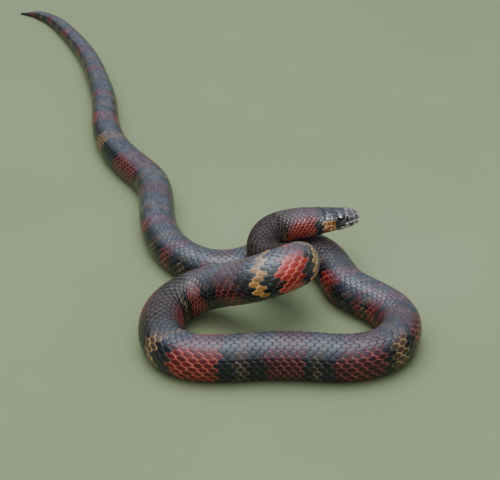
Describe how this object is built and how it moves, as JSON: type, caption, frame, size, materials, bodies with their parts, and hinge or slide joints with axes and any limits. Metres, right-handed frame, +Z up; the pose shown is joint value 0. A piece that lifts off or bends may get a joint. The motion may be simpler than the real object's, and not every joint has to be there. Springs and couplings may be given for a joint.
{
  "type": "milk snake",
  "caption": "Life-size museum model of an adult milk snake lying in loose coils, its neck looped over its body and its head held just off the ground.",
  "frame": {"origin": "middle of the model's plan box, on the floor that its belly rests on", "axes": "+X to the right of the coils as the picture shows them, +Y towards the tail, +Z up"},
  "size_m": [0.3067, 0.5417, 0.0597],
  "materials": {
    "body_scales": "semi-gloss",
    "head_plates": "gloss",
    "eye_spectacle": "gloss"
  },
  "bodies": {
    "root": {"head": "head_plates", "lower_jaw": "head_plates", "eye_left": "eye_spectacle", "eye_right": "eye_spectacle", "neck": "body_scales", "body_neck_loop": "body_scales", "body_raised_loop": "body_scales", "body_front_limb": "body_scales", "body_left_turn_upper": "body_scales", "body_left_turn_lower": "body_scales", "body_low_limb_left": "body_scales", "body_low_limb_right": "body_scales", "body_right_turn_lower": "body_scales", "body_right_turn_upper": "body_scales", "body_rear_limb": "body_scales", "body_crossed_turn": "body_scales", "body_crossed_limb": "body_scales", "body_back_turn": "body_scales", "body_back_limb_lower": "body_scales", "body_back_limb_middle": "body_scales", "body_back_limb_upper": "body_scales", "tail_base": "body_scales", "tail_middle": "body_scales", "tail_tip": "body_scales"}
  },
  "joints": []
}
